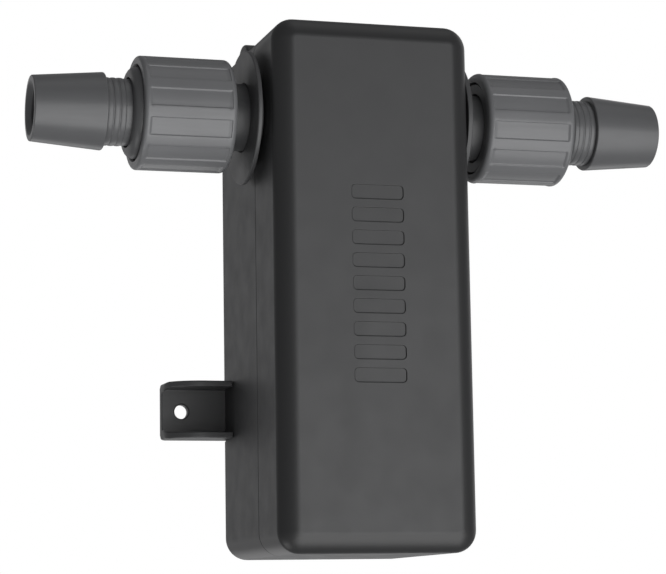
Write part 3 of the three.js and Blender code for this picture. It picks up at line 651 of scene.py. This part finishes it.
def rear_housing():
    """The rear shell with its screw tubes, strap recess, cord gland boss and board posts."""
    shell = case_shell("rear_housing_moulding", HOUSING_HIGH.y, 1, REAR_EDGE)
    recess_depth = EAR_THICKNESS + GAP
    half_recess = STRAP_HALF_HEIGHT + GAP
    strap_screws = (-STRAP_SCREW_X, STRAP_SCREW_X)
    gland_at = (0, GLAND_Y, GLAND_Z)
    face = GLAND_LOW.x
    boss_outline = softened([(0.5, face, 0), (GLAND_BOSS_RADIUS, face, 0.6),
                             (GLAND_BOSS_RADIUS, GLAND_BOSS_END, 0), (0.5, GLAND_BOSS_END, 0)])
    boss = turned("gland_boss", boss_outline, Matrix.Translation(gland_at), closed=False)
    tube_start = PARTING_Y + BOSS_END_GAP
    mouth = 0.35
    join(shell, at_case_screws(lambda x, z: rod(CASE_SCREW_BOSS, tube_start, -1, "y", (x, 0, z))))
    join(shell, [block((-21.5, -recess_depth - 2, -9.3), (21.5, -1.5, 9.3), 1.0)])
    join(shell, [rod(STRAP_SCREW_BOSS, -9, -2, "y", (x, 0, 0)) for x in strap_screws])
    join(shell, [boss])
    join(shell, [rod(BOARD_POST, BOARD_POST_END, -1.5, "y", (x, 0, z)) for x, z in BOARD_POSTS])
    cut(shell, [port_hole()])
    cut(shell, at_case_screws(
        lambda x, z: rod(CASE_SCREW_COUNTERBORE, CASE_SCREW_SEAT, mouth, "y", (x, 0, z), 64, mouth)))
    cut(shell, at_case_screws(lambda x, z: rod(CASE_SCREW_BORE, PARTING_Y - 1, -1, "y", (x, 0, z))))
    cut(shell, [block((-30, -recess_depth, -half_recess), (30, 1, half_recess), 0.4)])
    cut(shell, [rod(STRAP_SCREW_BORE, -10, -1, "y", (x, 0, 0)) for x in strap_screws])
    cut(shell, [rod(GLAND_POCKET, -30, face + 1.3, "x", gland_at, 64)])
    cut(shell, [rod(GLAND_BORE, -30, GLAND_BOSS_END + 1, "x", gland_at, 64)])
    cut(shell, [rod(BOARD_POST_BORE, -17, -8, "y", (x, 0, z), 24) for x, z in BOARD_POSTS])
    finish_piece(shell, "rear_housing_moulding", "case", "case", MATERIALS["case"], "rear_housing")


def cross_screw(name, node, place, size, length, flush):
    """A screw along X with its head's top at 0: a domed pan head, or a flush countersunk one."""
    radius, shank, height = size["head"], size["shank"], size["head_height"]
    core = 0.02
    tip = [(core, -length), (shank * 0.4, -length), (shank, -length + shank)]
    head = [(shank, -height)]
    if flush:
        head += [(radius - 0.1, -0.15), (radius, -0.08), (radius - 0.08, 0.0), (core, 0.0)]
    else:
        dome = height * 0.6
        head.append((radius, -height))
        for step in range(7):
            angle = math.pi / 2 * step / 6
            head.append((core + (radius - core) * math.cos(angle), dome * (math.sin(angle) - 1)))
    body = turned(name, tip + head, place, even_angles(48), closed=False)
    half, depth = radius * 0.62, height * 0.7
    for turn in (0, math.pi / 2):
        rings = []
        for along, share in ((-depth, 0.45), (0.3, 1.0)):
            outline = rounded_rectangle(half * share, 0.28, 0.1, 2)
            rings.append([(along, u, v) for u, v in outline])
        slot = solid("slot", rings, place=place @ Matrix.Rotation(turn, 4, "X"))
        cut(body, [slot])
    finish_piece(body, name, "case", "steel", MATERIALS["steel"], node, sharp=30)


def screws():
    """The four case screws and the two strap screws, all put in from the back."""
    head_top = CASE_SCREW_SEAT + GAP + CASE_SCREW["head_height"]
    length = head_top - (FRONT_Y + 7)
    places = at_case_screws(lambda x, z: (x, head_top, z))
    for number, place in enumerate(places, 1):
        at = Matrix.Translation(place) @ ALONG["y"]
        cross_screw(f"case_screw_{number}_steel", f"case_screw_{number}", at, CASE_SCREW, length, False)
    for number, x in enumerate((-STRAP_SCREW_X, STRAP_SCREW_X), 1):
        at = Matrix.Translation((x, -0.2, 0)) @ ALONG["y"]
        node = f"strap_screw_{number}"
        cross_screw(f"{node}_steel", node, at, STRAP_SCREW, STRAP_SCREW["length"], True)


def cord_gland():
    """The flexible ring in the cord's opening, with a rounded lip."""
    face = GLAND_LOW.x
    flange, sleeve = GLAND_POCKET - 0.2, GLAND_BORE - 0.2
    corners = [(GLAND_PASS, face, 0.35), (flange, face, 0.4), (flange, face + 1.0, 0.1),
               (sleeve, face + 1.0, 0), (sleeve, GLAND_HIGH.x, 0.2), (GLAND_PASS, GLAND_HIGH.x, 0.2)]
    ring = turned("cord_gland_ring", softened(corners), Matrix.Translation((0, GLAND_Y, GLAND_Z)))
    finish_piece(ring, "cord_gland_ring", "case", "rubber", MATERIALS["rubber"], "cord_gland")


# ---------------------------------------------------------------- hose ports


def port_place(side):
    """The turn and place of one port's pieces, which are made along +X."""
    turn = Matrix.Rotation(math.pi if side == "left" else 0.0, 4, "Z")
    return Matrix.Translation((0, PORT_Y, PORT_Z)) @ turn


def thread_phase(along, angle):
    """Turns of a right-hand helix about +X, from the nearest ridge: 0 on it, 0.5 midway."""
    phase = along / PITCH - angle / math.tau
    return abs(phase - round(phase))


def outer_ridge(along, angle):
    """Height of the barrel's thread, from 0 to 1, fading out at both ends of the barrel."""
    ridge = min(max(0.5 + 1.2 * math.cos(math.tau * thread_phase(along, angle)), 0.0), 1.0)
    return ridge * smooth((along - BARREL_START - 0.3) / 0.8) * smooth((BARREL_END - 0.3 - along) / 0.8)


def inner_ridge(along, angle):
    """Height of the nut's thread, from 0 to 1. It stands in the middle of the barrel's groove."""
    ridge = min(max(-1.6 * math.cos(math.tau * thread_phase(along, angle)) - 0.6, 0.0), 1.0)
    return ridge * smooth(along - NUT_START - 1.2) * smooth(NUT_THREAD_END - 0.8 - along)


def stations(start, end, step):
    """Places from start to end, evenly spaced by about step."""
    count = max(1, round(abs(end - start) / step))
    return [start + (end - start) * number / count for number in range(count + 1)]


def port_collar(side):
    """The collar round the port's hole: a hub on the case wall with a thin disc in front of it."""
    outer = COLLAR_END[side]
    disc = outer - COLLAR_DISC[side]
    corners = [(COLLAR_BORE, COLLAR_START, 0.1), (COLLAR_HUB_RADIUS, COLLAR_START, 0.1),
               (COLLAR_HUB_RADIUS, disc, 0.05), (COLLAR_RADIUS, disc, 0.15),
               (COLLAR_RADIUS, outer, 0.3), (COLLAR_BORE, outer, 0.3)]
    name = f"{side}_collar_disc"
    collar = turned(name, softened(corners, 6), port_place(side), even_angles(144))
    finish_piece(collar, name, "case", "case", MATERIALS["collar"], f"{side}_port_collar")


def neck_ribs():
    """Half-round grip ribs on the connector's neck, as (radius, along)."""
    points = []
    for rib in range(NECK_RIBS):
        middle = NECK_RIB_START + (rib + 0.5) * NECK_RIB_PITCH
        for step in range(9):
            angle = math.pi * (1 - step / 8)
            along = middle + 0.45 * NECK_RIB_PITCH * math.cos(angle)
            points.append((NECK_RADIUS + NECK_RIB_HEIGHT * math.sin(angle), along))
    return points


def hose_connector(side):
    """Plain collar, threaded barrel, neck with grip ribs and tapered nozzle, with one bore
    through them."""
    thread_start = BARREL_START + BARREL_COLLAR
    barrel = [(BARREL_ROOT, along) for along in stations(thread_start, BARREL_END - 0.2, THREAD_STEP)]
    shoulder = softened([(NECK_RADIUS, NOZZLE_START, 0.1), (NOZZLE_BASE_RADIUS, NOZZLE_START, 0.35),
                         (NOZZLE_TIP_RADIUS, TIP, 0.3), (BORE_RADIUS + LEAD_IN, TIP, 0.15),
                         (BORE_RADIUS, TIP - LEAD_IN, 0.3)], 6)
    outline = [(SOCKET_RADIUS + 0.2, BARREL_START), (BARREL_RADIUS - 0.1, BARREL_START),
               (BARREL_RADIUS, BARREL_START + 0.1), (BARREL_RADIUS, thread_start - 0.1), *barrel,
               (BARREL_ROOT - 0.2, BARREL_END), (NECK_RADIUS + 0.3, BARREL_END),
               (NECK_RADIUS, BARREL_END + 0.3), *neck_ribs(), *shoulder,
               (BORE_RADIUS, SOCKET_END), (SOCKET_RADIUS, SOCKET_END),
               (SOCKET_RADIUS, BARREL_START + 0.2)]

    def reach(radius, along, angle):
        if radius != BARREL_ROOT:
            return radius
        return radius + (BARREL_RADIUS - BARREL_ROOT) * outer_ridge(along, angle)

    name = f"{side}_hose_nozzle"
    nozzle = turned(name, outline, port_place(side), even_angles(120), reach)
    finish_piece(nozzle, name, "case", "nozzle", MATERIALS["nozzle"], f"{side}_hose_connector")


def clamp_ring(side):
    """The ring that the nut squeezes on the hose, with a round nose outside the nut."""
    start, end = CLAMP_LOW.x, CLAMP_HIGH.x
    corners = [(CLAMP_BORE, start, 0.3), (CLAMP_SHOULDER, start, 0.2),
               (CLAMP_SHOULDER, CLAMP_SHOULDER_END, 0.2), (CLAMP_NOSE, CLAMP_SHOULDER_END, 0.1),
               (CLAMP_NOSE, end, CLAMP_ROUND), (CLAMP_LIP, end, 0.15)]
    name = f"{side}_clamp_collet"
    ring = turned(name, softened(corners, 7), port_place(side))
    finish_piece(ring, name, f"{side}_ring", "clamp", MATERIALS["clamp"], f"{side}_clamp_ring")


def nut_angles(side):
    """The first rib's angle, and the angles round the nut, close together at its ribs' walls."""
    period = math.tau / NUT_RIBS
    first = math.radians(FIRST_RIB_ANGLE[side])
    wall = [RIB_HALF_ANGLE + RIB_WALL_ANGLE * step / 4 for step in range(5)]
    flute = [wall[-1] + (period - 2 * wall[-1]) * step / 6 for step in range(1, 6)]
    rib = [-0.5 * RIB_HALF_ANGLE, 0.5 * RIB_HALF_ANGLE]
    offsets = [*rib, *wall, *flute, *[period - angle for angle in reversed(wall)]]
    return first, [first + period * number + offset for number in range(NUT_RIBS) for offset in offsets]


def lock_nut(side):
    """The fluted nut: ribs between sunk flutes, a thin mouth and a thread in its bore."""
    first, angles = nut_angles(side)
    period = math.tau / NUT_RIBS
    flute_start, flute_end = NUT_START + 1.3, NUT_END - 1.0
    grip = stations(flute_start, flute_start + FLUTE_RUN_OUT, FLUTE_STEP)
    grip += stations(flute_end - FLUTE_RUN_OUT, flute_end, FLUTE_STEP)
    back = softened([(NUT_BORE + 0.1, NUT_START, 0), (NUT_RADIUS, NUT_START, 1.2),
                     (NUT_RADIUS, flute_start, 0)], 7)[:-1]
    front = softened([(NUT_RADIUS, flute_end + 0.1, 0), (NUT_RADIUS, NUT_END, 0.85),
                      (MOUTH_RADIUS, NUT_END, 0.12), (NUT_BORE, NUT_END - 0.6, 0.1),
                      (NUT_BORE, POCKET_END, 0)], 7)
    pocket = [(POCKET_RADIUS, POCKET_END), (POCKET_RADIUS, POCKET_START), (NUT_BORE + 0.02, POCKET_START)]
    bore = [(NUT_BORE, along) for along in stations(NUT_THREAD_END, NUT_START + 1.4, THREAD_STEP)]
    outline = [*back, *[(NUT_RADIUS, along) for along in grip], *front, *pocket, *bore]

    def reach(radius, along, angle):
        if radius == NUT_BORE:
            return radius - NUT_THREAD_DEPTH * inner_ridge(along, angle)
        if radius != NUT_RADIUS:
            return radius
        turn = (angle - first) / period
        offset = abs(turn - round(turn)) * period
        sunk = smooth((offset - RIB_HALF_ANGLE) / RIB_WALL_ANGLE)
        rising = smooth((along - flute_start) / FLUTE_RUN_OUT)
        case_end = FLUTE_OPEN_END + (1 - FLUTE_OPEN_END) * rising
        mouth_end = smooth((flute_end - along) / FLUTE_RUN_OUT)
        return radius - FLUTE_DEPTH * sunk * case_end * mouth_end

    name = f"{side}_fluted_nut"
    nut = turned(name, outline, port_place(side), angles, reach)
    finish_piece(nut, name, f"{side}_nut", "fitting", MATERIALS["fitting"], f"{side}_lock_nut", sharp=60)


def ports():
    """Both ports: their collars, connectors, clamp rings and nuts."""
    for side in ("left", "right"):
        port_collar(side)
        hose_connector(side)
        clamp_ring(side)
        lock_nut(side)


# ---------------------------------------------------------------- bracket


def flange_front(x):
    """Where a flange's front edge stands: level near the case, then down to the tip along a
    quarter ellipse."""
    share = max(x - (REACH - FLANGE_CURVE), 0.0) / FLANGE_CURVE
    tip = -EAR_THICKNESS - FLANGE_TIP
    return tip + (EAR_FRONT - tip) * math.sqrt(max(1 - share * share, 0.0))


def ear_section(x, inset):
    """The ear's channel at a distance from the middle, drawn in all round by inset."""
    past = max(x + inset - (REACH - EAR_CORNER), 0.0)
    narrowing = EAR_CORNER - math.sqrt(max(EAR_CORNER * EAR_CORNER - past * past, 0.0))
    height = STRAP_HALF_HEIGHT - inset - narrowing * 0.8
    inner = height - FLANGE + 2 * inset
    front = flange_front(x) + inset
    floor = -EAR_THICKNESS + inset
    return softened([
        (-inset, -height, 0.25), (-inset, height, 0.25), (front, height, 0.3), (front, inner, 0.3),
        (floor, inner, 0.5), (floor, -inner, 0.5), (front, -inner, 0.3), (front, -height, 0.3)])


def ear_solid(side):
    """One screw ear, from the case's side to its rounded tip."""
    start = HALF_WIDTH + GAP
    lengths = [(x, 0.0) for x in stations(start, REACH - FLANGE_CURVE, 2.0)]
    for step in range(1, 19):
        angle = math.pi / 2 * step / 19
        lengths.append((REACH - FLANGE_CURVE + FLANGE_CURVE * math.sin(angle) - 0.02, 0.0))
    tip = 0.3
    lengths = [pair for pair in lengths if pair[0] < REACH - tip]
    for inset, rise in quarter(tip, tip, 4):
        lengths.append((REACH - rise, inset))
    rings = []
    for x, inset in lengths:
        rings.append([(side * x, y, z) for y, z in ear_section(x, inset)])
    return solid("ear", rings)


def mounting_bracket():
    """The strap across the case's back and its two channel-shaped screw ears, in one moulding."""
    overlap = HALF_WIDTH + 1.0
    shy = 0.02
    height = STRAP_HALF_HEIGHT - shy
    strap = block((-overlap, -EAR_THICKNESS + shy, -height), (overlap, -shy, height))
    join(strap, [ear_solid(-1), ear_solid(1)])
    for side in (-1, 1):
        bore = SCREW_HOLE_RADIUS
        outline = [(bore + 0.3, -EAR_THICKNESS - 1), (bore + 0.3, -EAR_THICKNESS),
                   (bore, -EAR_THICKNESS + 0.3), (bore, 1)]
        hole = turned("hole", outline, Matrix.Translation((side * SCREW_HOLE_X, 0, 0)) @ ALONG["y"],
                      even_angles(64), closed=False)
        sink = turned("sink", [(STRAP_SCREW_BORE, -3), (STRAP_SCREW_BORE, -1.3), (2.9, 0.3)],
                      Matrix.Translation((side * STRAP_SCREW_X, 0, 0)) @ ALONG["y"], closed=False)
        cut(strap, [hole, sink])
    finish_piece(strap, "bracket_moulding", "case", "bracket", MATERIALS["bracket"], "mounting_bracket")


# ---------------------------------------------------------------- inside


def water_chamber():
    """The upright tank with a round neck out to each port."""
    half_width, wall = CHAMBER_HALF_WIDTH, CHAMBER_WALL
    half_depth = (CHAMBER_HIGH.y - CHAMBER_LOW.y) / 2
    bottom, top, neck_end = CHAMBER_LOW.z, CHAMBER_HIGH.z, CHAMBER_HIGH.x
    port_at = (0, PORT_Y, PORT_Z)
    tank = upright_prism(half_width, half_depth, CHAMBER_CORNER, bottom, top, 0.6)
    join(tank, [rod(PORT_NECK_RADIUS, -neck_end, neck_end, "x", port_at, 96)])
    hollow = upright_prism(
        half_width - wall, half_depth - wall, CHAMBER_CORNER / 2, bottom - 1, top - wall)
    cut(tank, [hollow])
    cut(tank, [rod(BORE_RADIUS, -50, 50, "x", port_at, 64)])
    finish_piece(tank, "water_tank", "case", "chamber", MATERIALS["chamber"], "water_chamber")


CARRIED_OVER = {
    "rubber": ["case_gasket", "chamber_seal", "sleeve_o_ring", "left_port_seal", "right_port_seal",
               "lamp_lead"],
    "chamber": ["chamber_cap", "flow_baffle"],
    "fitting": ["sleeve_nut"],
    "quartz": ["quartz_sleeve"],
    "lamp": ["uv_lamp"],
    "ceramic": ["lamp_base"],
    "board": ["driver_board"],
    "component": ["driver_transformer", "driver_capacitor", "power_terminal"],
    "steel": ["board_screw_1", "board_screw_2"],
}


def paint_carried_over():
    """Gives every CAD node that stays its finished material."""
    for material, names in CARRIED_OVER.items():
        for name in names:
            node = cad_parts[name]
            node.data.materials.clear()
            node.data.materials.append(MATERIALS[material])


# ---------------------------------------------------------------- camera, light and floor

CAMERA_PLACE = (-0.15828, -0.54776, -0.04921)
CAMERA_YAW, CAMERA_PITCH, CAMERA_ROLL = -16.6, 8.05, -0.92
CAMERA_LENS = 125.7


def make_camera():
    """A long lens in front of the object, a little to its left and below it."""
    data = bpy.data.cameras.new("camera")
    data.sensor_width = 36
    data.lens = CAMERA_LENS
    data.clip_start = 0.01
    camera = bpy.data.objects.new("camera", data)
    heading = Matrix.Rotation(math.radians(CAMERA_YAW), 4, "Z")
    tilt = Matrix.Rotation(math.radians(90 + CAMERA_PITCH), 4, "X")
    roll = Matrix.Rotation(math.radians(CAMERA_ROLL), 4, "Z")
    camera.matrix_world = Matrix.Translation(CAMERA_PLACE) @ heading @ tilt @ roll
    bpy.context.scene.collection.objects.link(camera)
    bpy.context.scene.camera = camera


def softbox(name, azimuth, elevation, distance, width, height, radiance):
    """A soft panel that faces the object. Azimuth 0 is in front and 90 at the right, in degrees."""
    data = bpy.data.lights.new(name, "AREA")
    data.shape = "RECTANGLE"
    data.size = width
    data.size_y = height
    data.energy = radiance * math.pi * width * height
    light = bpy.data.objects.new(name, data)
    across, up = math.radians(azimuth), math.radians(elevation)
    away = Vector((math.sin(across) * math.cos(up), -math.cos(across) * math.cos(up), math.sin(up)))
    middle = (CAD_BOX[0] + CAD_BOX[1]) / 2
    light.location = middle + away * distance
    light.rotation_euler = away.to_track_quat("Z", "Y").to_euler()
    light.visible_camera = False
    bpy.context.scene.collection.objects.link(light)


def make_lights():
    """A broad key low in front, weak fills behind and above, and a kick low at the left corner."""
    softbox("key", 16, -27, 0.9, 0.95, 1.4, 2.6)
    softbox("rear_fill", 128, 14, 0.9, 0.6, 0.8, 0.7)
    softbox("top_fill", 60, 75, 1.0, 0.6, 0.6, 0.5)
    softbox("left_fill", -150, 5, 1.0, 0.9, 0.9, 0.30)
    softbox("low_rear", 163, -27, 1.0, 0.9, 0.4, 0.85)
    softbox("corner_kick", -98, -54, 0.9, 0.32, 0.32, 3.0)


def make_world():
    """White to the camera, and a dim even room to the object's surfaces."""
    world = bpy.data.worlds.new("room")
    world.use_nodes = True
    tree = world.node_tree
    tree.nodes.clear()
    seen = tree.nodes.new("ShaderNodeBackground")
    seen.inputs["Color"].default_value = (1, 1, 1, 1)
    room = tree.nodes.new("ShaderNodeBackground")
    room.inputs["Color"].default_value = (0.24, 0.24, 0.245, 1)
    rays = tree.nodes.new("ShaderNodeLightPath")
    mix = tree.nodes.new("ShaderNodeMixShader")
    output = tree.nodes.new("ShaderNodeOutputWorld")
    tree.links.new(rays.outputs["Is Camera Ray"], mix.inputs["Fac"])
    tree.links.new(room.outputs[0], mix.inputs[1])
    tree.links.new(seen.outputs[0], mix.inputs[2])
    tree.links.new(mix.outputs[0], output.inputs["Surface"])
    bpy.context.scene.world = world


def make_floor():
    """A wide pale floor far below the wall-mounted object. It gives it no reflection."""
    size, level = 12.0, -1.0
    mesh = bpy.data.meshes.new("floor")
    corners = [(-size, -size, level), (size, -size, level), (size, size, level), (-size, size, level)]
    mesh.from_pydata(corners, [], [(0, 1, 2, 3)])
    floor = bpy.data.objects.new("floor", mesh)
    bpy.context.scene.collection.objects.link(floor)
    material = bpy.data.materials.new("pale_floor")
    material.use_nodes = True
    shader = material.node_tree.nodes["Principled BSDF"]
    shader.inputs["Base Color"].default_value = (0.8, 0.8, 0.8, 1)
    shader.inputs["Roughness"].default_value = 0.9
    shader.inputs["Emission Color"].default_value = (1, 1, 1, 1)
    shader.inputs["Emission Strength"].default_value = 0.75
    mesh.materials.append(material)
    floor.visible_glossy = False
    floor.visible_diffuse = False


# ---------------------------------------------------------------- assembly

make_camera()
make_world()
make_lights()
make_floor()
bpy.context.scene.view_settings.view_transform = "Standard"

front_cover()
rear_housing()
screws()
cord_gland()
ports()
mounting_bracket()
water_chamber()
paint_carried_over()
